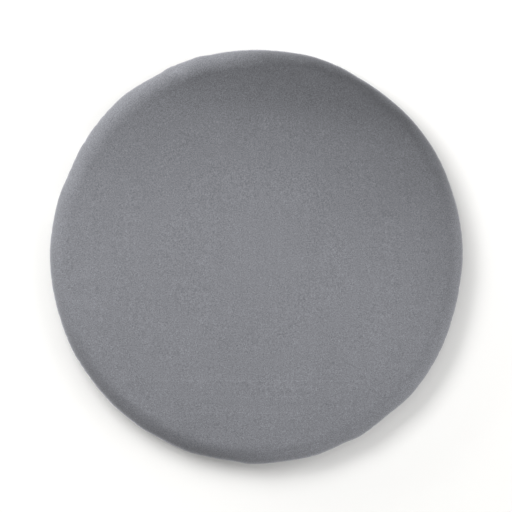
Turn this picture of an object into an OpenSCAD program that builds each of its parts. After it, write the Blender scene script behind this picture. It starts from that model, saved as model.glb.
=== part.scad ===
// Round seat cushion: a velour cover with a zip round the back, over a wadded foam pad.
// The origin is the middle of the underside, +Z is up and the zip is on the +Y side.

/* [Cushion] */
// Diameter at the widest line
cushion_d = 400; // [380:5:440]
// Height at the middle of the crowned top
cushion_h = 42; // [41:0.5:46]
// How much higher the middle of the top is than the start of the rolled rim
crown = 3.5; // [1:0.5:5]
// Radius of the rolled rim
rim_r = 19; // [18:0.5:20]

/* [Cover] */
// Thickness of the velour and of the non-slip cloth
cloth_t = 1.5; // [1:0.1:1.6]
// Height of the seam between the top panel and the side band
upper_seam_z = 17.5; // [17:0.1:18]
// Height of the seam between the side band and the base panel
lower_seam_z = 4.8; // [4.6:0.1:5]
// How far the lower seam is tucked in from the widest line
lower_seam_tuck = 6.5; // [6:0.1:7]
// How far the side band bulges between its seams
band_bulge = 0.8; // [0:0.1:1]
// Width of the seam allowance inside the cover
allowance = 7; // [5:0.1:7]
// Thickness of the overlock thread round a seam allowance
overlock_t = 0.5; // [0.3:0.1:0.5]
// How far the overlock thread reaches over the allowance
overlock_depth = 1.6; // [1:0.1:2]

/* [Grip dots] */
// Diameter of a grip dot
dot_d = 5; // [3:0.5:8]
// Height of a grip dot
dot_h = 0.8; // [0.4:0.1:1]
// Distance from one ring of dots to the next
dot_pitch = 18; // [16:1:30]

/* [Zip] */
// Direction in which the zip begins, in degrees from +X towards +Y
zip_from = 25; // [15:1:40]
// How far round the cushion the zip runs, in degrees
zip_sweep = 130; // [90:1:140]
// How far the tapes lie behind the edges of the cloth
zip_recess = 1.5; // [1.4:0.1:1.8]
// Thickness of the woven tape
tape_t = 0.6; // [0.4:0.1:0.6]
// Width of one coil
coil_w = 2; // [1.6:0.1:2]
// Height of the coils
coil_h = 1.6; // [1.4:0.1:1.6]
// Gap between the coils, which the slider's post runs in
coil_gap = 1.8; // [1.6:0.1:1.8]

/* [Slider] */
// Length of the slider
slider_len = 13; // [10:0.5:13]
// Width of the slider at its wide end
slider_w = 8.6; // [8.4:0.1:8.8]
// Thickness of the slider's plates
plate_t = 0.8; // [0.6:0.1:0.8]
// Length of the pull tab from its pin
tab_len = 22; // [15:0.5:22]
// Width of the pull tab
tab_w = 5.6; // [5:0.1:7]

/* [Label] */
// Direction of the label's middle, in degrees from +X towards +Y
label_at = 166; // [164:1:180]
// Width of the label along the seam
label_w = 18; // [12:1:24]
// Length of the label below the seam
label_len = 13.8; // [10:0.1:14]
// Thickness of the folded label
label_t = 0.5; // [0.4:0.1:0.6]

/* [Pad] */
// Thickness of the inner bag's cloth
liner_t = 0.6; // [0.4:0.1:0.8]
// Thickness of the wadding over the top and the rim
wadding_t = 4; // [2:0.5:5]
// Thickness of the wadding under the foam
wadding_base_t = 2.5; // [1:0.5:3]
// Diameter of the thread that closes the inner bag
liner_thread_d = 1; // [0.6:0.1:1]

/* [Hidden] */
$fn = 180;

velour = [0.53, 0.535, 0.56];
grip_cloth = [0.30, 0.30, 0.32];
thread = [0.45, 0.45, 0.48];
tape = [0.42, 0.42, 0.45];
metal = [0.72, 0.72, 0.73];
white_cloth = [0.92, 0.92, 0.90];
foam = [0.93, 0.89, 0.74];

// The rolled rim turns about this point of the section, which is [radius, height].
rim_centre = [cushion_d / 2 - rim_r, cushion_h - crown - rim_r];
// The clearance that keeps separate layers from touching
layer_gap = 0.1;
// The clearance under the pieces that are sewn or crimped to the tapes
tape_gap = 0.05;

// Seams, as points of the section
upper_seam_angle = asin((rim_centre[1] - upper_seam_z) / rim_r);
upper_seam = rim_centre + rim_r * [cos(upper_seam_angle), -sin(upper_seam_angle)];
lower_seam = [cushion_d / 2 - lower_seam_tuck, lower_seam_z];
upper_allowance_r = upper_seam[0] - allowance;
lower_allowance_r = lower_seam[0] - allowance;

// The zip's own directions in the section: along is up the tape, out is away from it.
seam_chord = upper_seam - lower_seam;
along = seam_chord / norm(seam_chord);
out = [along[1], -along[0]];
zip_mid = (upper_seam + lower_seam) / 2 - zip_recess * out;
zip_tilt = atan2(along[0], along[1]);
zip_to = zip_from + zip_sweep;

// Angles along the zip taken by the bartacks and the stops at each end
bartack_deg = 0.5;
stop_deg = 0.7;
end_deg = 1.2;
coil_from = zip_from + end_deg + stop_deg;
coil_sweep = zip_sweep - 2 * (end_deg + stop_deg);

// The slider waits at the closed end, a little short of the top stops.
slider_play_deg = 0.4;
slider_half_deg = atan(slider_len / 2 / zip_mid[0]);
slider_at = coil_from + coil_sweep - slider_half_deg - slider_play_deg;
slider_under = tape_t + 0.4;
slider_over = coil_h + 0.3;
slider_top = slider_over + plate_t;
lip_z = coil_gap / 2 + coil_w + 0.4;
lip_t = 0.6;
tab_pin_r = 0.45;
tab_pin_x = slider_top + 0.75;
tab_pin_y = 0.3;
tab_t = 0.8;
bridge_half_w = 1.2;
bridge_t = 0.65;
tab_arm_from = 1.6;
tab_window_len = 4.8;

// The pad fills the cover, and steps in where the seam allowances are.
pad_z = dot_h + cloth_t + layer_gap;
pad_foot_r = lower_allowance_r - overlock_t - layer_gap;
pad_foot_z = lower_seam_z + cloth_t + overlock_t + layer_gap;
pad_waist_r = upper_allowance_r - overlock_t - 1;
pad_waist_z = (upper_seam_z + lower_seam_z) / 2 + 0.85;
pad_shoulder_z = upper_seam_z + cloth_t + 0.8;
pad_rim_r = rim_r - cloth_t - 3 * layer_gap;
pad_foot_chamfer = 3;

// Points along an arc of the section, both ends included
function arc(centre, r, from, to, steps) =
  [for (i = [0:steps]) let (a = from + (to - from) * i / steps) centre + r * [cos(a), sin(a)]];

// The crowned top from the axis to the rim, lowered by depth; the last point is left to the rim's arc.
function crown_line(depth, steps = 8) =
  [for (i = [0:steps - 1]) let (x = rim_centre[0] * i / steps)
    [x, cushion_h - depth - crown * pow(x / rim_centre[0], 2)]];

function reversed(points) = [for (i = [len(points) - 1:-1:0]) points[i]];

// A point of the section given in the zip's own directions
function zip_point(x, z) = zip_mid + x * out + z * along;

// How far up the tape a depth under the tape's face reaches a given height
function zip_reach(x, height) = (height - zip_mid[1] - x * out[1]) / along[1];

// The outline of the pad, inset by side at the rim and top and by under at the bottom
function pad_outline(side, under) = concat(
  [
    [0, pad_z + under],
    [pad_foot_r - pad_foot_chamfer - side, pad_z + under],
    [pad_foot_r - side, pad_z + pad_foot_chamfer + under],
    [pad_foot_r - side, pad_foot_z + under],
    [pad_waist_r - side, pad_waist_z],
    [pad_waist_r - side, pad_shoulder_z + side / 2]
  ],
  arc(rim_centre, pad_rim_r - side, 12 + 3 * side, 90, 8),
  reversed(crown_line(cushion_h - rim_centre[1] - crown - pad_rim_r + side))
);

// A section turned about the cushion's axis over part of a circle
module turned(from, sweep) {
  rotate([0, 0, from]) rotate_extrude(angle = sweep) children();
}

// One height range of a section
module between(low, high) {
  intersection() {
    children();
    translate([0, low]) square([cushion_d, high - low]);
  }
}

// A rectangle of the section in the zip's own directions
module zip_bar(x0, x1, z0, z1) {
  polygon([zip_point(x0, z0), zip_point(x1, z0), zip_point(x1, z1), zip_point(x0, z1)]);
}

// Places the children on the zip: X points out of the tape, Y along the zip and Z up the tape.
module on_zip(angle) {
  rotate([0, 0, angle]) translate([zip_mid[0], 0, zip_mid[1]]) rotate([0, zip_tilt, 0]) children();
}

// Extrudes an outline drawn in Y and Z along X.
module slab(x0, thickness) {
  translate([x0, 0, 0]) rotate([90, 0, 90]) linear_extrude(thickness) children();
}

module cover_top_panel() {
  inner_angle = asin((rim_centre[1] - upper_seam_z - cloth_t) / (rim_r - cloth_t));
  color(velour) rotate_extrude() polygon(concat(
    crown_line(0),
    arc(rim_centre, rim_r, 90, -upper_seam_angle, 12),
    [[upper_allowance_r, upper_seam_z], [upper_allowance_r, upper_seam_z + cloth_t]],
    arc(rim_centre, rim_r - cloth_t, -inner_angle, 90, 12),
    reversed(crown_line(cloth_t))
  ));
}

// The band's section: a bulging wall with a seam allowance turned in at each edge
module band_section() {
  half = norm(seam_chord) / 2;
  steps = 6;
  outer = [for (i = [0:steps]) let (s = half * (1 - 2 * i / steps))
    (upper_seam + lower_seam) / 2 + s * along + band_bulge * (1 - pow(s / half, 2)) * out];
  inner = [for (p = outer) p - cloth_t * out];
  below = upper_seam_z - cloth_t;
  above = lower_seam_z + cloth_t;
  wall = [for (p = inner) if (p[1] < below && p[1] > above) p];
  polygon(concat(
    [[upper_allowance_r, upper_seam_z]],
    outer,
    [[lower_allowance_r, lower_seam_z], [lower_allowance_r, above]],
    [[wall[len(wall) - 1][0], above]],
    reversed(wall),
    [[wall[0][0], below], [upper_allowance_r, below]]
  ));
}

module cover_side_band() {
  color(velour) turned(zip_to, 360 - zip_sweep) band_section();
}

module base_section() {
  corner_r = lower_seam_z + 0.5 - dot_h;
  centre = [lower_seam[0] - corner_r, dot_h + corner_r];
  seam_angle = asin((centre[1] - lower_seam_z) / corner_r);
  inner_r = corner_r - cloth_t;
  inner_angle = asin((centre[1] - lower_seam_z + cloth_t) / inner_r);
  polygon(concat(
    [[0, dot_h]],
    arc(centre, corner_r, -90, -seam_angle, 6),
    [[lower_allowance_r, lower_seam_z], [lower_allowance_r, lower_seam_z - cloth_t]],
    arc(centre, inner_r, -inner_angle, -90, 4),
    [[0, dot_h + cloth_t]]
  ));
}

module cover_base_panel() {
  rings = floor((lower_seam[0] - 7 - dot_d / 2) / dot_pitch);
  color(grip_cloth) union() {
    rotate_extrude() base_section();
    for (ring = [0:rings], i = [0:max(6 * ring, 1) - 1])
      rotate([0, 0, 360 * i / max(6 * ring, 1)])
        translate([ring * dot_pitch, 0, 0]) cylinder(d = dot_d, h = dot_h + 0.3, $fn = 24);
  }
}

// Overlock thread that wraps the free edges of the two seam allowances at a seam
module seam_overlock(inner_r, seam_z) {
  low = seam_z - cloth_t;
  color(thread) rotate_extrude() difference() {
    translate([inner_r - overlock_t, low - overlock_t])
      square([overlock_t + overlock_depth, 2 * (cloth_t + overlock_t)]);
    translate([inner_r, low]) square([2 * overlock_depth, 2 * cloth_t]);
  }
}

module upper_seam_overlock() {
  seam_overlock(upper_allowance_r, upper_seam_z);
}

module lower_seam_overlock() {
  seam_overlock(lower_allowance_r, lower_seam_z);
}

module zip_tape_upper() {
  color(tape) turned(zip_from, zip_sweep) polygon([
    zip_point(0, coil_gap / 2),
    zip_point(0, zip_reach(0, upper_seam_z)),
    [upper_allowance_r, upper_seam_z],
    [upper_allowance_r, upper_seam_z - tape_t],
    zip_point(-tape_t, zip_reach(-tape_t, upper_seam_z - tape_t)),
    zip_point(-tape_t, coil_gap / 2)
  ]);
}

module zip_tape_lower() {
  color(tape) turned(zip_from, zip_sweep) polygon([
    zip_point(0, -coil_gap / 2),
    zip_point(0, zip_reach(0, lower_seam_z)),
    [lower_allowance_r, lower_seam_z],
    [lower_allowance_r, lower_seam_z + tape_t],
    zip_point(-tape_t, zip_reach(-tape_t, lower_seam_z + tape_t)),
    zip_point(-tape_t, -coil_gap / 2)
  ]);
}

module zip_coil(side) {
  near = side * coil_gap / 2;
  far = side * (coil_gap / 2 + coil_w);
  color(tape) turned(coil_from, coil_sweep) zip_bar(tape_gap, coil_h, near, far);
}

module zip_coil_upper() {
  zip_coil(1);
}

module zip_coil_lower() {
  zip_coil(-1);
}

module zip_top_stops() {
  for (side = [-1, 1])
    color(metal) turned(coil_from + coil_sweep, stop_deg)
      zip_bar(tape_gap, coil_h + 0.2, side * coil_gap / 2, side * (coil_gap / 2 + coil_w + 0.3));
}

module zip_bottom_stop() {
  half_w = coil_gap / 2 + coil_w + 0.3;
  color(metal) turned(coil_from - stop_deg, stop_deg) zip_bar(tape_gap, coil_h + 0.2, -half_w, half_w);
}

module zip_bartacks() {
  half_w = coil_gap / 2 + coil_w + 0.8;
  for (start = [zip_from + 0.3, zip_to - 0.3 - bartack_deg])
    color(thread) turned(start, bartack_deg) zip_bar(tape_gap, 0.7, -half_w, half_w);
}

// The outline of both of the slider's plates, wide at the end that leads when the zip is closed
module slider_outline() {
  front = slider_len / 2;
  wide = slider_w / 2;
  polygon([
    [-front, -wide + 0.7], [-front + 4.5, -wide + 0.4], [front - 2, -wide], [front, -wide + 1.7],
    [front, wide - 1.7], [front - 2, wide], [-front + 4.5, wide - 0.4], [-front, wide - 0.7]
  ]);
}

// The arched bridge over the outer plate, under which the tab's pin turns
module slider_bridge() {
  inner_x = tab_pin_x + tab_pin_r + 0.15;
  outer_x = inner_x + bridge_t;
  translate([0, 0, -bridge_half_w]) linear_extrude(2 * bridge_half_w) difference() {
    polygon([
      [slider_top - 0.2, -3.4], [outer_x - 0.5, -3.4], [outer_x, -2.6],
      [outer_x, 3.2], [outer_x - 0.5, 4], [slider_top - 0.2, 4]
    ]);
    polygon([[slider_top, -2.6], [inner_x, -2.2], [inner_x, 2.8], [slider_top, 3.2]]);
  }
}

module zip_slider_body() {
  color(metal) on_zip(slider_at) union() {
    slab(slider_over, plate_t) slider_outline();
    slab(-slider_under - plate_t, plate_t) slider_outline();
    slab(-slider_under - 0.2, slider_over + slider_under + 0.4)
      polygon([[2, 0], [2.8, -0.45], [4.6, -0.45], [5.6, 0], [4.6, 0.45], [2.8, 0.45]]);
    for (side = [-1, 1])
      translate([0.4, -slider_len / 2 + 1, side > 0 ? lip_z - 0.1 : -lip_z - lip_t + 0.1])
        cube([slider_over - 0.2, slider_len - 3.4, lip_t]);
    slider_bridge();
  }
}

module zip_pull_tab() {
  half_w = tab_w / 2;
  color(metal) on_zip(slider_at) translate([tab_pin_x, tab_pin_y, 0]) union() {
    translate([0, 0, -half_w]) cylinder(r = tab_pin_r, h = tab_w, $fn = 24);
    slab(-tab_t / 2, tab_t) difference() {
      union() {
        translate([-tab_len + half_w, -half_w]) square([tab_len - half_w, tab_w]);
        translate([-tab_len + half_w, 0]) circle(r = half_w, $fn = 32);
      }
      translate([-tab_window_len, -tab_arm_from]) square([tab_window_len + 1, 2 * tab_arm_from]);
    }
  }
}

// A folded ribbon whose rounded upper edge is the line that it lifts about
module care_label() {
  gap = 0.3;
  color(white_cloth) rotate([0, 0, label_at])
    translate([cushion_d / 2 + gap + label_t / 2, label_w / 2, upper_seam_z - 0.7]) rotate([90, 0, 0])
      linear_extrude(label_w) union() {
        translate([-label_t / 2, -label_len]) square([label_t, label_len]);
        circle(d = label_t, $fn = 32);
      }
}

// One layer of the pad's wrapping, between two insets of its outline
module pad_layer(side, under, next_side, next_under, low, high) {
  rotate_extrude() between(low, high) difference() {
    polygon(pad_outline(side, under));
    polygon(pad_outline(next_side, next_under));
  }
}

module liner_top() {
  color(white_cloth) pad_layer(0, 0, liner_t, liner_t, pad_waist_z + layer_gap / 2, cushion_h);
}

module liner_base() {
  color(white_cloth) pad_layer(0, 0, liner_t, liner_t, 0, pad_waist_z - layer_gap / 2);
}

module liner_seam_thread() {
  r = liner_thread_d / 2;
  color(thread) rotate_extrude()
    translate([pad_waist_r + r + layer_gap, pad_waist_z]) circle(r = r, $fn = 16);
}

module wadding_top() {
  start = liner_t + layer_gap;
  color(white_cloth) pad_layer(start, start, liner_t + wadding_t, liner_t + wadding_base_t,
    pad_waist_z + layer_gap / 2, cushion_h);
}

module wadding_base() {
  start = liner_t + layer_gap;
  color(white_cloth) pad_layer(start, start, liner_t + wadding_t, liner_t + wadding_base_t,
    0, pad_waist_z - layer_gap / 2);
}

module foam_core() {
  side = liner_t + wadding_t + layer_gap;
  under = liner_t + wadding_base_t + layer_gap;
  color(foam) rotate_extrude() polygon(pad_outline(side, under));
}

cover_top_panel();
cover_side_band();
cover_base_panel();
upper_seam_overlock();
lower_seam_overlock();
zip_tape_upper();
zip_tape_lower();
zip_coil_upper();
zip_coil_lower();
zip_top_stops();
zip_bottom_stop();
zip_bartacks();
zip_slider_body();
zip_pull_tab();
care_label();
liner_top();
liner_base();
liner_seam_thread();
wadding_top();
wadding_base();
foam_core();
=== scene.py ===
"""Round velour seat cushion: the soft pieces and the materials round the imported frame.

All lengths are in metres and all directions are in degrees from +X towards +Y.
"""

import math
import random

import bmesh
import bpy
import numpy as np
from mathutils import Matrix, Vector
from mathutils.bvhtree import BVHTree


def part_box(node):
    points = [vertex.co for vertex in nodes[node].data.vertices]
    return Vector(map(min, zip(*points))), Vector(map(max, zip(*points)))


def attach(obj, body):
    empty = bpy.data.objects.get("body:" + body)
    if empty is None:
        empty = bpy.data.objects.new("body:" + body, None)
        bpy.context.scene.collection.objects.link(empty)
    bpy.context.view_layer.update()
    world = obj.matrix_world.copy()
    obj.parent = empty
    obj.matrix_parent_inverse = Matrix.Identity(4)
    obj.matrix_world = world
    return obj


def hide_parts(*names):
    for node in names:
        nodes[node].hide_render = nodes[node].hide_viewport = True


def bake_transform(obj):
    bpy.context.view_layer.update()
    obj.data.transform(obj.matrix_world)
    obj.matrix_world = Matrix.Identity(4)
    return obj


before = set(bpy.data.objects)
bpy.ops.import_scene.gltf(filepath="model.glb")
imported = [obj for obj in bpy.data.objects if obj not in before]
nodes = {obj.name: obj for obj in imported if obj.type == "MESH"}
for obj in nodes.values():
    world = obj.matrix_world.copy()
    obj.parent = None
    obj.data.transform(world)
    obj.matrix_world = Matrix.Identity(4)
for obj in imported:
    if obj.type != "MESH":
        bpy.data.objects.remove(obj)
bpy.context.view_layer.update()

MM = 0.001

# ---------------------------------------------------------------- sizes, from the frame
TOP_LOW, TOP_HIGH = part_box("cover_top_panel")
BASE_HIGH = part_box("cover_base_panel")[1]
RADIUS = TOP_HIGH.x
HEIGHT = TOP_HIGH.z
UPPER_SEAM_Z = TOP_LOW.z
LOWER_SEAM_Z = BASE_HIGH.z
LOWER_SEAM_R = BASE_HIGH.x

# Rise of the top's middle over its rim, and the rim's roundness
CROWN = 3.5 * MM
RIM_R = 19 * MM
RIM_CENTRE = (RADIUS - RIM_R, HEIGHT - CROWN - RIM_R)
VELOUR_T = 1.2 * MM
BAND_T = 0.9 * MM
BASE_T = 1.0 * MM
DOT_H = 0.8 * MM
DOT_R = 2.5 * MM
DOT_PITCH = 18 * MM
# How far the last ring of dots stays from the lower seam
DOT_MARGIN = 7 * MM

# Where the zip starts and ends
ZIP_FROM = 25
ZIP_TO = 155

# ---------------------------------------------------------------- what the cloth does
# The cover is a little larger than its pad, so its edge runs in flattish stretches between
# soft corners: direction, and how far out it stands in millimetres. These values were not
# chosen by eye: a separate program measured the photographed edge, and what it printed was
# thinned and rounded.
EDGE_CORNERS = [
    (0, 0.3), (11, 0.2), (19, -0.1), (25, 0.6), (30, 0.8), (43, 0.3), (50, -0.5), (60, -0.8), (66, 0.4),
    (74, 0.9), (81, -0.1), (90, -0.4), (102, -0.3), (106, 1.0), (110, 0.3), (114, 1.0), (119, -0.5),
    (129, 1.5), (136, 0.8), (149, -0.7), (154, -1.9), (158, -1.9), (163, -0.9), (170, -1.1), (179, -0.4),
    (198, -1.0), (208, -0.2), (217, -0.7), (226, -0.1), (232, -0.4), (236, 0.2), (242, -0.5), (250, 0.9),
    (256, 0.0), (263, -0.3), (269, 1.6), (277, 0.7), (287, 1.6), (295, 0.0), (300, 1.6), (309, -0.2),
    (318, 1.6), (335, 0.4), (342, -0.6), (352, -0.7),
]
# How far the whole edge stands out, so that the taut stretches still clear the pad
EDGE_EASE = 0.7 * MM
# Degrees over which each corner is rounded, to either side
CORNER_SOFT = 0.8
# Faint folds left by the packing: place along Y and half length as shares of the radius, height in mm
FOLD_LINES = [(-0.60, 0.62, 0.22), (-0.755, 0.40, 0.13)]
# How far the cover may sink into the pad or swell off it
DENT = -0.15 * MM
SWELL = 1.4 * MM

# How fine the cover's mesh is: rings on the top and round the rim, and points in a ring
RINGS_FLAT = 60
RINGS_RIM = 34
SPOKES = 480


def smooth(low, high, x):
    """0 up to low, 1 from high on, and an S-shaped rise between them."""
    t = np.clip((x - low) / (high - low), 0, 1)
    return t * t * (3 - 2 * t)


def bump(x, half_width):
    """A rounded bump, 1 high, at 0."""
    return np.exp(-((x / half_width) ** 2))


def turn_between(a, b):
    """The signed angle from b to a in degrees, from -180 to 180."""
    return (a - b + 180) % 360 - 180


def gathers(seed, count):
    """Small tucks where the cloth is eased into the seams: direction, half width, depth and reach."""
    rng = random.Random(seed)
    made = []
    for i in range(count):
        at = 360 * (i + rng.uniform(-0.45, 0.45)) / count
        made.append(
            (at, rng.uniform(0.32, 0.8), rng.uniform(0.1, 0.6) ** 1.3 * MM, rng.uniform(4, 13) * MM)
        )
    return made


TUCKS = gathers(seed=5, count=110)


def edge_offset(degrees):
    """How far the cover's edge stands out from the CAD's circle."""
    at, amount = zip(*EDGE_CORNERS)
    out = np.zeros(np.shape(degrees))
    for turn in (-CORNER_SOFT, 0, CORNER_SOFT):
        out = out + np.interp(degrees + turn, at, amount, period=360) / 3
    return EDGE_EASE + out * MM


def tuck_depth(degrees, from_seam):
    """How deep the tucks are at a distance from the seam that they run into."""
    depth = np.zeros(np.broadcast(degrees, from_seam).shape)
    for at, half_width, amount, reach in TUCKS:
        away = turn_between(degrees, at)
        depth = depth + amount * bump(away, half_width) * np.exp(-((from_seam / reach) ** 2))
    return depth


# ---------------------------------------------------------------- mesh helpers
def new_object(name, verts, faces):
    """A smooth-shaded mesh object in the scene."""
    mesh = bpy.data.meshes.new(name)
    mesh.from_pydata([tuple(v) for v in verts], [], faces)
    mesh.validate()
    mesh.polygons.foreach_set("use_smooth", [True] * len(mesh.polygons))
    obj = bpy.data.objects.new(name, mesh)
    bpy.context.scene.collection.objects.link(obj)
    return obj


def strip_faces(rows, columns, closed):
    """Quads between the rows of a grid whose points are stored row by row."""
    faces = []
    for r in range(rows - 1):
        for c in range(columns if closed else columns - 1):
            d = (c + 1) % columns
            faces.append((r * columns + c, (r + 1) * columns + c, (r + 1) * columns + d, r * columns + d))
    return faces


def ring_points(radius, degrees, height):
    """Points round the +Z axis, one for each direction."""
    radians = np.radians(degrees)
    return np.stack([radius * np.cos(radians), radius * np.sin(radians), np.full_like(radius, height)], -1)


def sheet_mesh(name, grid, closed, cap=None):
    """A mesh through a grid of points; cap is a point that closes the first row."""
    rows, columns = grid.shape[:2]
    verts = [tuple(p) for p in grid.reshape(-1, 3)]
    faces = strip_faces(rows, columns, closed)
    if cap is not None:
        verts.append(tuple(cap))
        last = len(verts) - 1
        faces += [(last, c, (c + 1) % columns) for c in range(columns)]
    return new_object(name, verts, faces)


def apply_modifiers(obj):
    """Replaces an object's mesh with the one that its modifiers make."""
    bpy.context.view_layer.update()
    graph = bpy.context.evaluated_depsgraph_get()
    mesh = bpy.data.meshes.new_from_object(obj.evaluated_get(graph))
    obj.modifiers.clear()
    obj.data = mesh
    mesh.polygons.foreach_set("use_smooth", [True] * len(mesh.polygons))
    return obj


def thicken(obj, thickness):
    """Gives a sheet its thickness on the inner side."""
    solid = obj.modifiers.new("thickness", "SOLIDIFY")
    solid.thickness = thickness
    solid.offset = -1
    solid.use_even_offset = False
    return apply_modifiers(obj)


def coordinates(mesh):
    co = np.empty(len(mesh.vertices) * 3)
    mesh.vertices.foreach_get("co", co)
    return co.reshape(-1, 3)


def set_coordinates(mesh, co):
    mesh.vertices.foreach_set("co", co.reshape(-1))
    mesh.update()


# ---------------------------------------------------------------- the top panel
# How the cloth turns in at the upper seam: inward and down from the seam, in mm
TURN_IN = [(0.35, 0.35), (1.2, 0.55), (2.6, 0.45)]
# The rim starts to follow the loose edge from here on, as a share of the radius
LOOSE_FROM = 0.7

# The cloth simulation: mesh size, pressure, frames, and the furthest that a point may move
VOXEL = 5 * MM
PRESSURE = 4
FRAMES = 20
FURTHEST = 3.2 * MM
# The pad starts a little flat, because the pressure raises it
START_LOW = 1.6 * MM


def top_section(flat_steps, rim_steps, tuck_in):
    """Radius and height from near the middle to the upper seam, and in at the seam if tuck_in."""
    flat_r = RIM_CENTRE[0]
    points = []
    for i in range(1, flat_steps):
        r = flat_r * i / flat_steps
        points.append((r, HEIGHT - CROWN * (r / flat_r) ** 2))
    end = math.asin((RIM_CENTRE[1] - UPPER_SEAM_Z) / RIM_R)
    for i in range(rim_steps + 1):
        a = math.pi / 2 - (math.pi / 2 + end) * i / rim_steps
        points.append((RIM_CENTRE[0] + RIM_R * math.cos(a), RIM_CENTRE[1] + RIM_R * math.sin(a)))
    if tuck_in:
        seam_r, seam_z = points[-1]
        points += [(seam_r - inward * MM, seam_z - down * MM) for inward, down in TURN_IN]
    return np.array(points)


def filled_pad():
    """The filled upper half of the cover before it swells, as a closed mesh of even squares."""
    section = top_section(24, 12, False)
    degrees = np.arange(0, 360, 360 / 160)
    rings = []
    for r, z in section:
        reach = smooth(LOOSE_FROM * RADIUS, RADIUS, r)
        radius = r + edge_offset(degrees) * reach - START_LOW * 0.5 * reach
        height = UPPER_SEAM_Z + (z - UPPER_SEAM_Z) * (1 - START_LOW / HEIGHT)
        rings.append(ring_points(radius, degrees, height))
    rings = np.array(rings)
    columns = len(degrees)
    verts = [tuple(p) for p in rings.reshape(-1, 3)]
    faces = strip_faces(len(rings), columns, True)
    verts += [(0, 0, HEIGHT - START_LOW), (0, 0, UPPER_SEAM_Z)]
    top, bottom = len(verts) - 2, len(verts) - 1
    last_row = (len(rings) - 1) * columns
    for c in range(columns):
        d = (c + 1) % columns
        faces.append((top, c, d))
        faces.append((bottom, last_row + d, last_row + c))
    obj = new_object("swollen_pad", verts, faces)
    remesh = obj.modifiers.new("voxels", "REMESH")
    remesh.mode = "VOXEL"
    remesh.voxel_size = VOXEL
    return apply_modifiers(obj)


def swollen_pad():
    """The pad blown up by cloth simulation against its pinned seam."""
    obj = filled_pad()
    rest = coordinates(obj.data)
    # The seam holds the lowest 1.5 mm.
    pinned = obj.vertex_groups.new(name="seam")
    low = [i for i, p in enumerate(rest) if p[2] < UPPER_SEAM_Z + 1.5 * MM]
    pinned.add(low, 1.0, "REPLACE")
    cloth = obj.modifiers.new("cloth", "CLOTH")
    cloth.settings.vertex_group_mass = "seam"
    cloth.settings.use_pressure = True
    cloth.settings.uniform_pressure_force = PRESSURE
    cloth.settings.shrink_min = -0.012
    cloth.settings.quality = 5
    cloth.settings.mass = 0.3
    cloth.settings.tension_stiffness = 20
    cloth.settings.bending_stiffness = 1.5
    cloth.settings.effector_weights.gravity = 0
    cloth.collision_settings.use_collision = False
    scene = bpy.context.scene
    for number in range(1, FRAMES + 1):
        scene.frame_set(number)
    apply_modifiers(obj)
    scene.frame_set(1)
    move = coordinates(obj.data) - rest
    length = np.linalg.norm(move, axis=1, keepdims=True)
    set_coordinates(obj.data, rest + move * np.minimum(1, FURTHEST / np.maximum(length, 1e-9)))
    return obj


def surface_of(obj):
    """The mesh as a surface that rays can be sent at."""
    mesh = obj.data
    polygons = [tuple(p.vertices) for p in mesh.polygons]
    return BVHTree.FromPolygons([tuple(v.co) for v in mesh.vertices], polygons)


def fold_height(x, y):
    """The faint fold lines across the top: a low ridge that wavers, with a shallow dip in front of it."""
    height = np.zeros_like(x)
    for at, half_length, amount in FOLD_LINES:
        line = at * RADIUS + 0.6 * MM * np.sin(x * 31 + at) + 0.4 * MM * np.sin(x * 83)
        ends = 1 - smooth(half_length * RADIUS * 0.7, half_length * RADIUS, np.abs(x + 0.004))
        ridge = bump(y - line, 1.3 * MM)
        dip = 0.6 * bump(y - line + 3.2 * MM, 2.2 * MM)
        height = height + amount * MM * (ridge - dip) * ends
    return height


def soft_waves(x, y):
    """Broad unevenness of the wadding under the cloth, a few centimetres from crest to crest."""
    broad = np.sin(x * 47 + 1.3 * np.sin(y * 21)) * np.sin(y * 39 + 0.8)
    close = np.sin(x * 83 + y * 61 + 2.1) * np.sin(y * 97 - x * 29)
    return 0.16 * MM * (broad + 0.6 * close)


def distance_to_surface(pad, grid, normals, rows):
    """How far the first rows of the grid are from the pad along their normals."""
    tree = surface_of(pad)
    move = np.zeros(grid.shape[:2])
    search = 12 * MM
    for row in range(rows):
        for c in range(SPOKES):
            p, n = Vector(grid[row, c]), Vector(normals[row, c])
            hit = tree.ray_cast(p + n * search, -n, 2 * search)[0]
            if hit is not None:
                move[row, c] = (hit - p).dot(n)
    return move


def smoothed(move, passes):
    """Evens out a grid of distances, along the rings and across them."""
    for _ in range(passes):
        move = 0.5 * move + 0.25 * (np.roll(move, 1, 1) + np.roll(move, -1, 1))
        move[1:-1] = 0.5 * move[1:-1] + 0.25 * (move[:-2] + move[2:])
    # The rings at the very middle are too small to differ.
    move[:3] = move[:3].mean()
    return move


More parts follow.
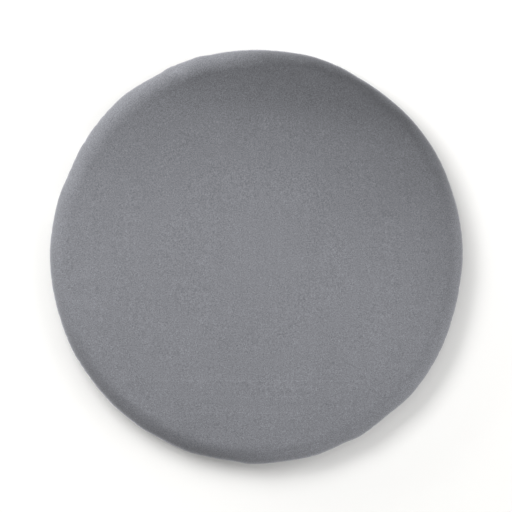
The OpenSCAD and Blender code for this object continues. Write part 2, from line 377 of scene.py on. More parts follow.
def build_top_panel(pad):
    """The velour top: a fine mesh laid on the swollen pad, with its tucks and folds."""
    section = top_section(RINGS_FLAT, RINGS_RIM, True)
    steps = np.linalg.norm(np.diff(section, axis=0), axis=1)
    to_end = np.append(np.cumsum(steps[::-1])[::-1], 0)
    seam_row = len(section) - 1 - len(TURN_IN)
    from_seam = to_end - to_end[seam_row]
    degrees = np.arange(0, 360, 360 / SPOKES)
    radians = np.radians(degrees)
    around = np.stack([np.cos(radians), np.sin(radians)], -1)
    offset = edge_offset(degrees)
    grid = np.zeros((len(section), SPOKES, 3))
    normals = np.zeros_like(grid)
    for row, (r, z) in enumerate(section):
        radius = r + offset * smooth(LOOSE_FROM * RADIUS, RADIUS, r)
        grid[row] = ring_points(radius, degrees, z)
        # The top's normals point straight up, and the rim's away from the centre of its arc.
        normal = np.subtract((r, z), RIM_CENTRE) if r > RIM_CENTRE[0] else np.array([0.0, 1.0])
        normal = normal / np.linalg.norm(normal)
        normals[row, :, :2] = normal[0] * around
        normals[row, :, 2] = normal[1]
    # Each point above the seam moves to the swollen surface, but never far into the pad.
    move = np.clip(distance_to_surface(pad, grid, normals, seam_row + 1), DENT, SWELL)
    settle = smooth(0, 5 * MM, from_seam)
    grid += normals * (smoothed(move, 12) * settle[:, None])[..., None]
    # The tucks pull the cloth in beside the seam.
    for row in range(len(section)):
        grid[row] -= normals[row] * tuck_depth(degrees, max(float(from_seam[row]), 0.0))[:, None]
    x, y = grid[..., 0], grid[..., 1]
    flat = 1 - smooth(0.8 * RADIUS, 0.92 * RADIUS, np.hypot(x, y))
    grid[..., 2] += (fold_height(x, y) + soft_waves(x, y)) * flat
    # The crown's very middle stands a little above the first ring.
    middle = grid[0].mean(axis=0)
    middle[2] += 0.02 * MM
    obj = sheet_mesh("velour_top", grid, True, middle)
    bpy.data.objects.remove(pad)
    return thicken(obj, VELOUR_T)


# ---------------------------------------------------------------- the side band
UPPER_SEAM = np.array([RADIUS, UPPER_SEAM_Z])
LOWER_SEAM = np.array([LOWER_SEAM_R, LOWER_SEAM_Z])
BAND_LENGTH = np.linalg.norm(UPPER_SEAM - LOWER_SEAM)
# The section's directions up the band and out of it
BAND_UP = (UPPER_SEAM - LOWER_SEAM) / BAND_LENGTH
BAND_OUT = np.array([BAND_UP[1], -BAND_UP[0]])
# How far the band swells out between the seams, and how far in it lies at them
BAND_SWELL = 0.9 * MM
BAND_SET_BACK = 0.35 * MM


def band_point(share):
    """Radius and height of the band's outer side, from the lower seam at 0 to the upper seam at 1."""
    swell = BAND_SWELL * (1 - (2 * share - 1) ** 4)
    return LOWER_SEAM + BAND_UP * BAND_LENGTH * share + BAND_OUT * (swell - BAND_SET_BACK)


def share_down(z):
    """How far down the band a height is, from the upper seam at 0 to the lower seam at 1."""
    return (UPPER_SEAM_Z - z) / (UPPER_SEAM_Z - LOWER_SEAM_Z)


def band_offset(degrees, z):
    """How far the cover's loose edge carries the band with it, which is less towards the lower seam."""
    return edge_offset(degrees) * (1 - 0.75 * share_down(z))


def build_side_band():
    """The velour band between the seams, over the part of the edge that has no zip."""
    rows = 26
    # The band runs on a little under the ends of the zip tapes.
    overlap = 0.3
    spokes = int(SPOKES * (360 - ZIP_TO + ZIP_FROM) / 360) + 1
    degrees = np.linspace(ZIP_TO - overlap, 360 + ZIP_FROM + overlap, spokes)
    grid = []

    def ring(r, z, from_seam):
        radius = r + band_offset(degrees, z) - tuck_depth(degrees, from_seam)
        grid.append(ring_points(radius, degrees, z))

    # The cloth turns in at both seams.
    ring(RADIUS - 2.6 * MM, UPPER_SEAM_Z - 0.45 * MM, 0)
    ring(RADIUS - 1.2 * MM, UPPER_SEAM_Z - 0.35 * MM, 0)
    for i in range(rows + 1):
        share = 1 - i / rows
        r, z = band_point(share)
        ring(r, z, BAND_LENGTH * min(share, 1 - share))
    ring(LOWER_SEAM_R - 1.2 * MM, LOWER_SEAM_Z + 0.1 * MM, 0)
    ring(LOWER_SEAM_R - 2.6 * MM, LOWER_SEAM_Z + 0.3 * MM, 0)
    obj = sheet_mesh("velour_side_band", np.array(grid), False)
    return thicken(obj, BAND_T)


# ---------------------------------------------------------------- the base
def build_base():
    """The non-slip cloth underneath, which turns up at its edge to the lower seam."""
    # The cloth turns up in an arc of this radius.
    corner = LOWER_SEAM_Z + 0.5 * MM - DOT_H
    centre = (LOWER_SEAM_R - corner, DOT_H + corner)
    degrees = np.arange(0, 360, 360 / SPOKES)
    flat_steps, corner_steps = 60, 12
    section = [(centre[0] * i / flat_steps, DOT_H) for i in range(1, flat_steps)]
    for i in range(corner_steps + 1):
        a = math.radians(-90 + 84 * i / corner_steps)
        section.append((centre[0] + corner * math.cos(a), centre[1] + corner * math.sin(a)))
    section += [
        (LOWER_SEAM_R - 0.5 * MM, LOWER_SEAM_Z + 0.2 * MM),
        (LOWER_SEAM_R - 2.6 * MM, LOWER_SEAM_Z + 0.1 * MM),
    ]
    grid = []
    for r, z in section:
        reach = smooth(0.85 * RADIUS, LOWER_SEAM_R, r)
        from_seam = math.dist((r, z), LOWER_SEAM)
        radius = r + 0.25 * edge_offset(degrees) * reach - 0.6 * tuck_depth(degrees, from_seam)
        # Between its dots the cloth lifts off the seat a little.
        lift = 0.12 * MM * np.sin(r * 150) * np.sin(np.radians(degrees) * 7) * (1 - reach)
        grid.append(ring_points(radius, degrees, z + np.abs(lift)))
    obj = sheet_mesh("grip_cloth_base", np.array(grid)[:, ::-1], True, (0, 0, DOT_H))
    return thicken(obj, BASE_T)


def add_dot(verts, faces, cx, cy):
    """One domed dot, from a ring inside the cloth down to its round tip."""
    sides = 16
    # Rings of the dot: radius and height as shares of the dot's own
    profile = [(1.0, 1.25), (0.96, 0.62), (0.80, 0.22), (0.45, 0.02)]
    first = len(verts)
    for share, height in profile:
        for i in range(sides):
            a = 2 * math.pi * i / sides
            verts.append((cx + DOT_R * share * math.cos(a), cy + DOT_R * share * math.sin(a), DOT_H * height))
    verts.append((cx, cy, 0))
    for row in range(len(profile) - 1):
        for i in range(sides):
            here, beside = first + row * sides + i, first + row * sides + (i + 1) % sides
            faces.append((here, here + sides, beside + sides, beside))
    last = first + (len(profile) - 1) * sides
    faces += [(last + i, len(verts) - 1, last + (i + 1) % sides) for i in range(sides)]
    faces.append([first + i for i in range(sides)])


def build_grip_dots():
    """Domed dots in rings, printed on the base cloth."""
    verts, faces = [], []
    rings = int((LOWER_SEAM_R - DOT_MARGIN - DOT_R) / DOT_PITCH)
    for ring in range(rings + 1):
        count = max(6 * ring, 1)
        for i in range(count):
            a = 2 * math.pi * i / count
            add_dot(verts, faces, ring * DOT_PITCH * math.cos(a), ring * DOT_PITCH * math.sin(a))
    return new_object("grip_dots", verts, faces)


# ---------------------------------------------------------------- camera
CAMERA_DISTANCE = 2.4
# Share of the picture's width that the cushion spans
CAMERA_FILL = 0.8052


def add_camera():
    """Straight above the middle, with a long lens."""
    data = bpy.data.cameras.new("camera")
    data.sensor_width = 36
    data.lens = data.sensor_width * CAMERA_DISTANCE / (2 * RADIUS / CAMERA_FILL)
    camera = bpy.data.objects.new("camera", data)
    bpy.context.scene.collection.objects.link(camera)
    camera.location = (0, 0, CAMERA_DISTANCE + 0.5 * HEIGHT)
    bpy.context.scene.camera = camera


add_camera()


# ---------------------------------------------------------------- the zip
# How far the tapes lie in behind the line between the seams, and their middle's radius and height
ZIP_RECESS = 1.5 * MM
ZIP_MIDDLE = (UPPER_SEAM + LOWER_SEAM) / 2 - ZIP_RECESS * BAND_OUT

# The coils stop short of the zip's ends
COIL_MARGIN = 1.9
COIL_FROM = ZIP_FROM + COIL_MARGIN
COIL_TO = ZIP_TO - COIL_MARGIN
COIL_PITCH = 1.4 * MM
COIL_WIRE_R = 0.3 * MM
# A loop's height over the tape at its middle, and half of how tall it is
COIL_LIFT = 0.82 * MM
COIL_HALF_H = 0.5 * MM
# Where the loops start and end, out from the zip's middle
COIL_HEAD = -0.15 * MM
COIL_HEEL = 2.6 * MM
# Rows of lockstitch on a tape: distance from the zip's middle, height over the tape, stitch length, in mm
STITCH_ROWS = [(1.35, 1.62, 2.8), (2.1, 1.62, 2.8), (5.6, 0.14, 3.2)]
STITCH_THREAD_R = 0.13 * MM


def on_zip(degrees, out_by, up_by):
    """A point beside the zip's middle line."""
    r, z = ZIP_MIDDLE + BAND_OUT * out_by + BAND_UP * up_by
    a = math.radians(degrees)
    return (r * math.cos(a), r * math.sin(a), z)


def tube(name, points, radius):
    """A six-sided round tube along a line of points, closed at its ends."""
    data = bpy.data.curves.new(name, "CURVE")
    data.dimensions = "3D"
    data.bevel_depth = radius
    data.bevel_resolution = 1
    data.use_fill_caps = True
    spline = data.splines.new("POLY")
    spline.points.add(len(points) - 1)
    for target, p in zip(spline.points, points):
        target.co = (*p, 1)
    obj = bpy.data.objects.new(name, data)
    bpy.context.scene.collection.objects.link(obj)
    bpy.context.view_layer.update()
    mesh = bpy.data.meshes.new_from_object(obj.evaluated_get(bpy.context.evaluated_depsgraph_get()))
    bpy.data.objects.remove(obj)
    mesh.polygons.foreach_set("use_smooth", [True] * len(mesh.polygons))
    made = bpy.data.objects.new(name, mesh)
    bpy.context.scene.collection.objects.link(made)
    return made


def build_coil(name, side):
    """One nylon coil: flat loops whose heads reach past the zip's middle and mesh with the other coil's."""
    turn_deg = math.degrees(COIL_PITCH / ZIP_MIDDLE[0])
    turns = int((COIL_TO - COIL_FROM) / turn_deg) - 1
    steps = 12
    points = []
    for i in range(turns * steps + 1):
        phase = 2 * math.pi * i / steps
        across = (COIL_HEAD + COIL_HEEL) / 2 - math.cos(phase) * (COIL_HEEL - COIL_HEAD) / 2
        height = COIL_LIFT + COIL_HALF_H * math.sin(phase)
        # The upper coil is half a turn along from the lower one, so that their heads alternate.
        along = i / steps + (0.5 if side > 0 else 0) + 0.12 * math.sin(2 * phase)
        points.append(on_zip(COIL_FROM + 0.1 + along * turn_deg, height, side * across))
    return tube(name, points, COIL_WIRE_R)


def build_tape_stitches(name, side):
    """The rows that hold a coil to its tape and the tape to the cover."""
    parts = []
    steps = 4
    for row, height, stitch in STITCH_ROWS:
        stitch_deg = math.degrees(stitch * MM / ZIP_MIDDLE[0])
        count = int((COIL_TO - COIL_FROM) / stitch_deg)
        points = []
        for i in range(count * steps + 1):
            dip = 0.14 * (1 - abs(math.sin(math.pi * i / steps)))
            points.append(on_zip(COIL_FROM + i * stitch_deg / steps, (height - dip) * MM, side * row * MM))
        parts.append(tube(name, points, STITCH_THREAD_R))
    return join(name, parts)


def join(name, parts):
    """Joins several mesh objects into one."""
    verts, faces = [], []
    for part in parts:
        first = len(verts)
        verts += [tuple(v.co) for v in part.data.vertices]
        faces += [[first + v for v in p.vertices] for p in part.data.polygons]
        bpy.data.objects.remove(part)
    return new_object(name, verts, faces)


def bevelled(name, node, width):
    """A CAD node's shape with its edges rounded over, as cast and stamped metal has them."""
    mesh = bmesh.new()
    mesh.from_mesh(nodes[node].data)
    bmesh.ops.remove_doubles(mesh, verts=mesh.verts, dist=1e-6)
    bmesh.ops.dissolve_limit(mesh, angle_limit=math.radians(2), verts=mesh.verts, edges=mesh.edges)
    data = bpy.data.meshes.new(name)
    mesh.to_mesh(data)
    mesh.free()
    data.materials.clear()
    obj = bpy.data.objects.new(name, data)
    bpy.context.scene.collection.objects.link(obj)
    edges = obj.modifiers.new("edges", "BEVEL")
    edges.width = width
    edges.segments = 2
    edges.limit_method = "ANGLE"
    edges.angle_limit = math.radians(35)
    shading = obj.modifiers.new("shading", "WEIGHTED_NORMAL")
    shading.keep_sharp = False
    return apply_modifiers(obj)


# ---------------------------------------------------------------- the label
# The ribbon's width and thickness, and how far it hangs below the upper seam
LABEL_WIDTH = 18 * MM
LABEL_T = 0.14 * MM
LABEL_HANG = 12.6 * MM
# How far the two layers of the ribbon stand off the band
LABEL_NEAR = 0.15 * MM
LABEL_FAR = 0.58 * MM


def label_section():
    """Radius and height along the ribbon: down from the seam, round the fold and up again."""
    steps, fold_steps = 24, 6
    bend = (LABEL_FAR - LABEL_NEAR) / 2

    def layer(i, lift):
        """A point of one layer; the two layers come together at the seam."""
        share = 1 - LABEL_HANG / BAND_LENGTH * (i + 0.6) / steps
        parted = smooth(0, 3 * MM, (1 - share) * BAND_LENGTH)
        r, z = band_point(share)
        return (r + LABEL_NEAR * 0.5 + (lift - LABEL_NEAR * 0.5) * parted, z)

    # The two ends lie one on the other in the seam.
    line = [(RADIUS - inward * MM, UPPER_SEAM_Z - 0.42 * MM) for inward in (1.8, 0.7)]
    line += [layer(i, LABEL_NEAR) for i in range(steps)]
    r, z = layer(steps, LABEL_NEAR)
    for i in range(fold_steps + 1):
        a = math.pi + math.pi * i / fold_steps
        line.append((r + bend + bend * math.cos(a), z + bend * math.sin(a)))
    line += [layer(i, LABEL_FAR) for i in reversed(range(steps))]
    return line + [(RADIUS - inward * MM, UPPER_SEAM_Z - 0.26 * MM) for inward in (0.7, 1.8)]


def build_label():
    """A ribbon folded once, which hangs along the band, with its two ends caught in the seam."""
    low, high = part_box("care_label")
    middle = (low + high) / 2
    direction = math.atan2(middle.y, middle.x)
    columns = 14
    grid = []
    for r, z in label_section():
        row = []
        for c in range(columns):
            across = LABEL_WIDTH * (c / (columns - 1) - 0.5)
            curl = 0.25 * MM * (2 * across / LABEL_WIDTH) ** 2 * share_down(z)
            a = direction + across / RADIUS
            out = r + curl + float(band_offset(math.degrees(a), z))
            row.append((out * math.cos(a), out * math.sin(a), z))
        grid.append(row)
    return thicken(sheet_mesh("folded_label", np.array(grid), False), LABEL_T)


def bend_label(obj):
    """Bakes the label's placement into its mesh, with its sewn end left in the seam; nothing here bends the
    ribbon.
    """
    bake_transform(obj)


# ---------------------------------------------------------------- materials
class Nodes:
    """A short way to write a material's nodes."""

    def __init__(self, name):
        self.material = bpy.data.materials.new(name)
        self.material.use_nodes = True
        self.tree = self.material.node_tree
        self.tree.nodes.clear()
        output = self.tree.nodes.new("ShaderNodeOutputMaterial")
        self.shader = self.tree.nodes.new("ShaderNodeBsdfPrincipled")
        self.tree.links.new(self.shader.outputs[0], output.inputs["Surface"])
        self.place = self.tree.nodes.new("ShaderNodeTexCoord").outputs["Object"]

    def feed(self, socket, value):
        """Links an output to the socket, or sets the socket to a value."""
        if isinstance(value, bpy.types.NodeSocket):
            self.tree.links.new(value, socket)
        else:
            socket.default_value = value

    def math(self, operation, a, b=0.0):
        node = self.tree.nodes.new("ShaderNodeMath")
        node.operation = operation
        for socket, value in zip(node.inputs, (a, b)):
            self.feed(socket, value)
        return node.outputs[0]

    def plus(self, a, b):
        return self.math("ADD", a, b)

    def minus(self, a, b):
        return self.math("SUBTRACT", a, b)

    def times(self, a, b):
        return self.math("MULTIPLY", a, b)

    def length(self, a, b):
        """The length of a step of a to one side and b to the other."""
        return self.math("SQRT", self.plus(self.times(a, a), self.times(b, b)))

    def axes(self):
        node = self.tree.nodes.new("ShaderNodeSeparateXYZ")
        self.feed(node.inputs[0], self.place)
        return node.outputs

    def along(self, degrees):
        """The distance from the middle along a direction in the plan."""
        x, y, _ = self.axes()
        a = math.radians(degrees)
        return self.plus(self.times(x, math.cos(a)), self.times(y, math.sin(a)))

    def noise(self, scale, detail=2.0, roughness=0.5, vector=None):
        node = self.tree.nodes.new("ShaderNodeTexNoise")
        self.feed(node.inputs["Vector"], vector or self.place)
        node.inputs["Scale"].default_value = scale
        node.inputs["Detail"].default_value = detail
        node.inputs["Roughness"].default_value = roughness
        return node.outputs[0]

    def squeezed(self, x_by, y_by):
        """Places squeezed along X and Y, so that a noise fed with them runs in streaks."""
        x, y, z = self.axes()
        node = self.tree.nodes.new("ShaderNodeCombineXYZ")
        for socket, value in zip(node.inputs, (self.times(x, x_by), self.times(y, y_by), z)):
            self.feed(socket, value)
        return node.outputs[0]

    def cells(self, scale):
        node = self.tree.nodes.new("ShaderNodeTexVoronoi")
        self.feed(node.inputs["Vector"], self.place)
        node.inputs["Scale"].default_value = scale
        return node.outputs["Distance"]

    def span(self, value, low, high, to_low=0.0, to_high=1.0, kind="LINEAR"):
        """Turns a value between low and high into one between to_low and to_high."""
        node = self.tree.nodes.new("ShaderNodeMapRange")
        node.interpolation_type = kind
        for socket, v in zip(node.inputs, (value, low, high, to_low, to_high)):
            self.feed(socket, v)
        return node.outputs[0]

    def soft_span(self, value, low, high, to_low=0.0, to_high=1.0):
        return self.span(value, low, high, to_low, to_high, "SMOOTHSTEP")

    def scale_colour(self, colour, factor):
        node = self.tree.nodes.new("ShaderNodeMix")
        node.data_type = "RGBA"
        node.blend_type = "MULTIPLY"
        node.inputs[0].default_value = 1.0
        self.feed(node.inputs[6], colour)
        grey = self.tree.nodes.new("ShaderNodeCombineColor")
        for socket in grey.inputs:
            self.feed(socket, factor)
        self.tree.links.new(grey.outputs[0], node.inputs[7])
        return node.outputs[2]

    def bumps(self, height, distance, strength):
        node = self.tree.nodes.new("ShaderNodeBump")
        node.inputs["Strength"].default_value = strength
        node.inputs["Distance"].default_value = distance
        self.feed(node.inputs["Height"], height)
        self.tree.links.new(node.outputs[0], self.shader.inputs["Normal"])

    def set(self, **values):
        """Sets inputs of the shader, which are named here in lower case with underscores."""
        for name, value in values.items():
            self.feed(self.shader.inputs[name.replace("_", " ").title()], value)


def rgb(r, g, b):
    return (r, g, b, 1.0)


VELOUR = rgb(0.183, 0.187, 0.203)


def painted_shade_and_highlight(n, roll):
    """Painted shade over the back and top of the velour, and a painted highlight on its rim at the back left:
    how much the colour is darkened there.
    """
    x, y, _ = n.axes()
    # The painted shade grows with the distance from a point in front of the cushion, and more at the back.
    # The numbers of that first ramp are rounded results of the fit that gave the lamps.
    reach = n.length(n.plus(x, 0.24 * RADIUS), n.plus(y, 1.3 * RADIUS))
    painted_shade_share = n.soft_span(reach, 1.29 * RADIUS, 2.49 * RADIUS, 0.0, 0.44)
    painted_shade_share = n.plus(painted_shade_share, n.soft_span(n.along(80), 0.60 * RADIUS, 0.82 * RADIUS, 0.0, 0.10))
    # Where the cloth rolls over the edge at the back left, the painted shade is taken away again and turns
    # into a slight painted highlight.
    averted = n.soft_span(n.along(150), 0.12 * RADIUS, 0.64 * RADIUS, 0.82, 0.0)
    painted_rim_light = n.minus(n.span(roll, 0.90 * RADIUS, 0.98 * RADIUS, 0.0, 1.15), averted)
    return n.times(painted_shade_share, n.minus(1.0, n.math("MAXIMUM", painted_rim_light, 0.0)))


def painted_rim_highlight(n, out):
    """Painted highlight on the last of the roll at the right and front right, where the colour is lightened
    as if the edge caught the light.
    """
    right = n.soft_span(n.along(-35), 0.3 * RADIUS, 0.8 * RADIUS, 0.0, 0.32)
    return n.times(right, n.span(out, 0.94 * RADIUS, 0.985 * RADIUS))


def painted_rim_shade(n, roll):
    """Painted shade on the roll at the back right and the front left, where the rim faces away from the
    lamps.
    """
    either_way = n.math("ABSOLUTE", n.along(60))
    # The last number is a rounded result of the fit that gave the lamps.
    sides = n.soft_span(either_way, 0.58 * RADIUS, 0.95 * RADIUS, 0.0, 0.135)
    return n.times(sides, n.soft_span(roll, 0.91 * RADIUS, 0.955 * RADIUS))


def fold_mark(n, at, half_length):
    """The lighter line that a fold leaves in the pile."""
    x, y, _ = n.axes()
    line = n.math("ABSOLUTE", n.minus(y, at * RADIUS))
    ends = n.soft_span(n.math("ABSOLUTE", x), 0.6 * half_length * RADIUS, half_length * RADIUS, 1.0, 0.0)
    return n.times(n.soft_span(line, 0.0, 1.4 * MM, 1.0, 0.0), ends)


def velour_material():
    """Short-pile velour: a fine grain and soft clouds in the nap, with painted shade over the back and top
    and painted highlight and shade round the rim.
    """
    n = Nodes("velour")
    x, y, _ = n.axes()
    out = n.length(x, y)
    # The line where the roll starts wavers a little.
    roll = n.plus(out, n.span(n.noise(40), 0.3, 0.7, -2.5 * MM, 2.5 * MM))
    # Painted shade over the back and top, and painted highlight and shade round the rim, are multiplied into
    # the tone.
    tone = n.minus(1.0, painted_shade_and_highlight(n, roll))
    tone = n.times(tone, n.plus(1.0, painted_rim_highlight(n, out)))
    tone = n.times(tone, n.minus(1.0, painted_rim_shade(n, roll)))
    fibre = n.noise(5200, 1.0, 0.5)
    pile = n.noise(1700, 2.0, 0.6)
    grain = n.noise(900, 2.0, 0.6)
    tufts = n.noise(400, 2.0, 0.6)
    mottle = n.noise(130, 2.0, 0.5)
    cloud = n.noise(11, 2.0, 0.5)
    # The knitted ground under the pile shows as faint lines along its wales and courses.
    wales = n.noise(330, 2.0, 0.6, n.squeezed(1.0, 0.02))
    courses = n.noise(330, 2.0, 0.6, n.squeezed(0.02, 1.0))
    amounts = (
        (cloud, 0.025), (mottle, 0.02), (wales, 0.016), (courses, 0.010),
        (tufts, 0.03), (grain, 0.26), (pile, 0.24), (fibre, 0.18),
    )
    for field, amount in amounts:
        tone = n.times(tone, n.span(field, 0.3, 0.7, 1 - amount, 1 + amount))
    for at, half_length, _ in FOLD_LINES:
        tone = n.times(tone, n.plus(1.0, n.times(fold_mark(n, at, half_length), 0.075)))
    n.feed(n.shader.inputs["Base Color"], n.scale_colour(VELOUR, tone))
    height = n.plus(n.times(grain, 0.4), n.times(pile, 0.4))
    n.bumps(n.plus(height, n.times(fibre, 0.2)), 0.35 * MM, 0.6)
    n.set(roughness=0.95, sheen_weight=0.75, sheen_roughness=0.32)
    n.shader.inputs["Sheen Tint"].default_value = rgb(0.92, 0.935, 1.0)
    n.shader.inputs["Specular IOR Level"].default_value = 0.2
    return n.material


def around_and_up(n):
    """The distance round the cushion and the height, for weaves on its side."""
    x, y, z = n.axes()
    around = n.times(n.math("ARCTAN2", y, x), RADIUS)
    return around, z


def weave(n, u, v, pitch):
    """A plain weave between two directions: 0 in the gaps and 1 on the threads."""
    turn = 2 * math.pi / pitch
    a = n.math("SINE", n.times(u, turn))
    b = n.math("SINE", n.times(v, turn))
    return n.span(n.times(a, b), -1.0, 1.0)


def cloth_material(name, colour, pitch, depth, sideways, roughness=0.9, sheen=0.2, contrast=0.25):
    """A plainly woven cloth, either flat or wrapped round the cushion's side."""
    n = Nodes(name)
    if sideways:
        u, v = around_and_up(n)
    else:
        # The height goes into both, so that the weave carries on up the turned edge.
        x, y, z = n.axes()
        u, v = n.plus(x, z), n.plus(y, z)
    threads = weave(n, u, v, pitch)
    fluff = n.noise(900, 2.0, 0.6)
    tone = n.span(threads, 0.0, 1.0, 1 - contrast, 1 + contrast)
    tone = n.times(tone, n.span(fluff, 0.3, 0.7, 0.92, 1.08))
    n.feed(n.shader.inputs["Base Color"], n.scale_colour(colour, tone))
    n.bumps(n.plus(threads, n.times(fluff, 0.4)), depth, 0.7)
    n.set(roughness=roughness, sheen_weight=sheen, sheen_roughness=0.4)
    return n.material


def thread_material():
    """Twisted sewing thread, with its twist as slanting bands 0.6 mm apart."""
    n = Nodes("thread")
    around, z = around_and_up(n)
    slanted = n.plus(around, n.times(z, 1.5))
    twist = n.math("SINE", n.times(slanted, 2 * math.pi / (0.6 * MM)))
    tone = n.times(n.span(twist, -1.0, 1.0, 0.8, 1.15), n.span(n.noise(700), 0.3, 0.7, 0.93, 1.07))
    n.feed(n.shader.inputs["Base Color"], n.scale_colour(rgb(0.16, 0.162, 0.175), tone))
    n.bumps(twist, 0.08 * MM, 0.8)
    n.set(roughness=0.6, sheen_weight=0.15)
    return n.material


def fibre_material(name, colour, scale, depth, sheen):
    """A felted, non-woven cloth or wadding: tangled fibres and soft clumps."""
    n = Nodes(name)
    fibre = n.noise(scale, 5.0, 0.75)
    clump = n.noise(scale / 9, 2.0, 0.5)
    tone = n.times(n.span(fibre, 0.3, 0.7, 0.88, 1.06), n.span(clump, 0.3, 0.7, 0.95, 1.04))
    n.feed(n.shader.inputs["Base Color"], n.scale_colour(colour, tone))
    n.bumps(n.plus(fibre, clump), depth, 0.8)
    n.set(roughness=0.95, sheen_weight=sheen)
    return n.material


def foam_material():
    """Open-cell polyurethane foam."""
    n = Nodes("foam")
    pores = n.cells(900)
    tone = n.times(n.span(pores, 0.0, 0.6, 0.72, 1.08), n.span(n.noise(25), 0.3, 0.7, 0.96, 1.04))
    n.feed(n.shader.inputs["Base Color"], n.scale_colour(rgb(0.80, 0.74, 0.52), tone))
    n.bumps(pores, 0.3 * MM, 0.8)
    n.set(roughness=0.95)
    return n.material


def metal_material():
    """Plated zinc, lightly tumbled, with fine marks from use."""
    n = Nodes("zip_metal")
    tumble = n.noise(600, 3.0, 0.6)
    marks = n.noise(2200, 1.0, 0.5)
    tone = n.span(tumble, 0.3, 0.7, 0.90, 1.06)
    n.feed(n.shader.inputs["Base Color"], n.scale_colour(rgb(0.52, 0.52, 0.54), tone))
    n.feed(n.shader.inputs["Roughness"], n.span(marks, 0.3, 0.7, 0.24, 0.40))
    n.bumps(tumble, 0.04 * MM, 0.5)
    n.set(metallic=1.0)
    return n.material


def nylon_material():
    """Dyed nylon monofilament."""
    n = Nodes("zip_nylon")
    tone = n.span(n.noise(500, 2.0, 0.5), 0.3, 0.7, 0.92, 1.08)
    n.feed(n.shader.inputs["Base Color"], n.scale_colour(rgb(0.17, 0.172, 0.19), tone))
    n.feed(n.shader.inputs["Roughness"], n.span(n.noise(1500), 0.3, 0.7, 0.32, 0.46))
    n.bumps(n.noise(2500), 0.02 * MM, 0.5)
    return n.material


def grip_material():
    """Printed rubbery dots, slightly milky."""
    n = Nodes("grip_dots")
    tone = n.span(n.noise(350, 2.0, 0.5), 0.3, 0.7, 0.94, 1.05)
    n.feed(n.shader.inputs["Base Color"], n.scale_colour(rgb(0.20, 0.20, 0.21), tone))
    n.feed(n.shader.inputs["Roughness"], n.span(n.noise(1200), 0.3, 0.7, 0.42, 0.58))
    n.bumps(n.noise(900), 0.05 * MM, 0.5)
    return n.material


def floor_material():
    """Plain white board, very slightly warm, with the slightest grain."""
    n = Nodes("floor_white")
    tone = n.span(n.noise(60), 0.3, 0.7, 0.998, 1.002)
    # The colour is scaled by a factor from the fit that gave the lamps.
    n.feed(n.shader.inputs["Base Color"], n.scale_colour(rgb(0.880, 0.875, 0.860), tone))
    n.set(roughness=1.0)
    n.shader.inputs["Specular IOR Level"].default_value = 0.0
    return n.material


def wear(material, *objects):
    """Gives the objects one material in all their slots."""
    for obj in objects:
        if not obj.material_slots:
            obj.data.materials.append(material)
        for slot in obj.material_slots:
            slot.material = material


# ---------------------------------------------------------------- light and floor
# Name, direction, height above the floor in degrees, size and watts. These lamps were not
# placed by eye: a separate least-squares fit to the photographed greys picked them from a grid
# and gave their watts, which are rounded here. "right" stands for two neighbouring ones.
LIGHTS = [
    ("back_low", 120, 12, 0.9, 5.6),
    ("back_left_low", 150, 12, 0.9, 12.3),
    ("back_high", 120, 52, 0.6, 8.5),
    ("back_left_high", 150, 52, 0.6, 9.7),
    ("over_back", 90, 75, 0.6, 2.8),
    ("right", 0, 40, 1.6, 15.2),
    ("front", 270, 40, 1.6, 2.3),
]
LIGHT_DISTANCE = 1.7
WORLD_STRENGTH = 0.3
FLOOR_HALF = 4.0


def add_lights():
    """Square lamps that face the middle of the floor, and a plain white world."""
    for name, direction, height, size, watts in LIGHTS:
        data = bpy.data.lights.new(name, "AREA")
        data.shape = "SQUARE"
        data.size = size
        data.energy = watts
        light = bpy.data.objects.new(name, data)
        a, h = math.radians(direction), math.radians(height)
        toward = Vector((math.cos(h) * math.cos(a), math.cos(h) * math.sin(a), math.sin(h)))
        light.location = toward * LIGHT_DISTANCE
        light.rotation_euler = toward.to_track_quat("Z", "Y").to_euler()
        bpy.context.scene.collection.objects.link(light)
    world = bpy.data.worlds.new("studio")
    world.use_nodes = True
    background = world.node_tree.nodes["Background"]
    background.inputs[0].default_value = rgb(1, 1, 1)
    background.inputs[1].default_value = WORLD_STRENGTH
    bpy.context.scene.world = world
    bpy.context.scene.view_settings.view_transform = "Standard"


def add_floor():
    signs = [(-1, -1), (1, -1), (1, 1), (-1, 1)]
    floor = new_object("floor", [(FLOOR_HALF * x, FLOOR_HALF * y, 0) for x, y in signs], [(0, 1, 2, 3)])
    wear(floor_material(), floor)


# ---------------------------------------------------------------- the scene
velour = velour_material()
thread = thread_material()
tape_cloth = cloth_material(
    "zip_tape", rgb(0.135, 0.137, 0.150), pitch=0.9 * MM, depth=0.12 * MM, sideways=True
)
grip_cloth = cloth_material(
    "grip_cloth", rgb(0.060, 0.061, 0.068), pitch=1.1 * MM, depth=0.15 * MM, sideways=False
)
label_cloth = cloth_material(
    "label_satin", rgb(0.42, 0.42, 0.41), pitch=0.35 * MM, depth=0.04 * MM, sideways=True,
    roughness=0.45, sheen=0.3, contrast=0.05,
)
liner_cloth = fibre_material("liner_cloth", rgb(0.82, 0.82, 0.80), scale=800, depth=0.08 * MM, sheen=0.1)
wadding_fluff = fibre_material("wadding", rgb(0.90, 0.90, 0.88), scale=350, depth=0.6 * MM, sheen=0.4)
metal = metal_material()
nylon = nylon_material()

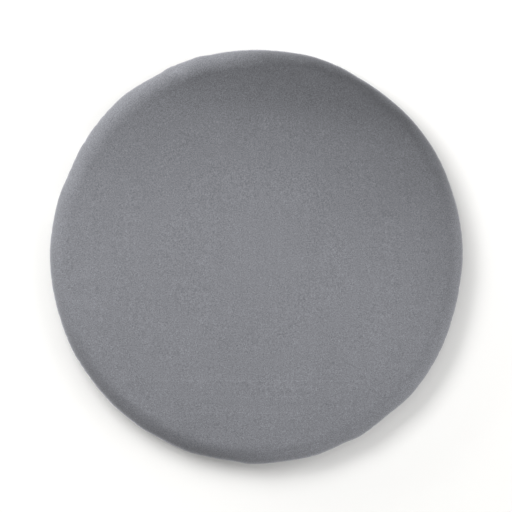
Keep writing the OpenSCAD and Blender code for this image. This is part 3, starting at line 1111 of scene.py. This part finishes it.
wear(thread, nodes["upper_seam_overlock"], nodes["lower_seam_overlock"])
wear(thread, nodes["zip_bartacks"], nodes["liner_seam_thread"])
wear(tape_cloth, nodes["zip_tape_upper"], nodes["zip_tape_lower"])
wear(liner_cloth, nodes["liner_top"], nodes["liner_base"])
wear(wadding_fluff, nodes["wadding_top"], nodes["wadding_base"])
wear(foam_material(), nodes["foam_core"])

top_panel = build_top_panel(swollen_pad())
side_band = build_side_band()
base = build_base()
dots = build_grip_dots()
coils = [build_coil("zip_teeth_upper", 1), build_coil("zip_teeth_lower", -1)]
stitches = [
    build_tape_stitches("tape_stitches_upper", 1),
    build_tape_stitches("tape_stitches_lower", -1),
]
label = build_label()
# Cast and stamped metal, with the width of its rounded edges
slider = bevelled("slider_casting", "zip_slider_body", 0.14 * MM)
tab = bevelled("pull_tab_stamping", "zip_pull_tab", 0.14 * MM)
top_stops = bevelled("top_stops_crimped", "zip_top_stops", 0.18 * MM)
bottom_stop = bevelled("bottom_stop_crimped", "zip_bottom_stop", 0.18 * MM)

# Piece, body it rides, material, record slot and the CAD nodes that it stands for
PIECES = [
    (top_panel, "cushion", velour, "velour", ["cover_top_panel"]),
    (side_band, "cushion", velour, "velour", ["cover_side_band"]),
    (base, "cushion", grip_cloth, "grip_cloth", ["cover_base_panel"]),
    (dots, "cushion", grip_material(), "grip_cloth", []),
    (coils[0], "cushion", nylon, "zip_nylon", ["zip_coil_upper"]),
    (coils[1], "cushion", nylon, "zip_nylon", ["zip_coil_lower"]),
    (stitches[0], "cushion", thread, "thread", []),
    (stitches[1], "cushion", thread, "thread", []),
    (label, "label", label_cloth, "label_satin", ["care_label"]),
    (slider, "slider", metal, "zip_metal", ["zip_slider_body"]),
    (tab, "pull_tab", metal, "zip_metal", ["zip_pull_tab"]),
    (top_stops, "cushion", metal, "zip_metal", ["zip_top_stops"]),
    (bottom_stop, "cushion", metal, "zip_metal", ["zip_bottom_stop"]),
]
for piece, body, material, slot, stands_for in PIECES:
    wear(material, piece)
    if piece is label:
        bend_label(piece)
    else:
        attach(piece, body)
    if stands_for:
        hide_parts(*stands_for)

add_floor()
add_lights()
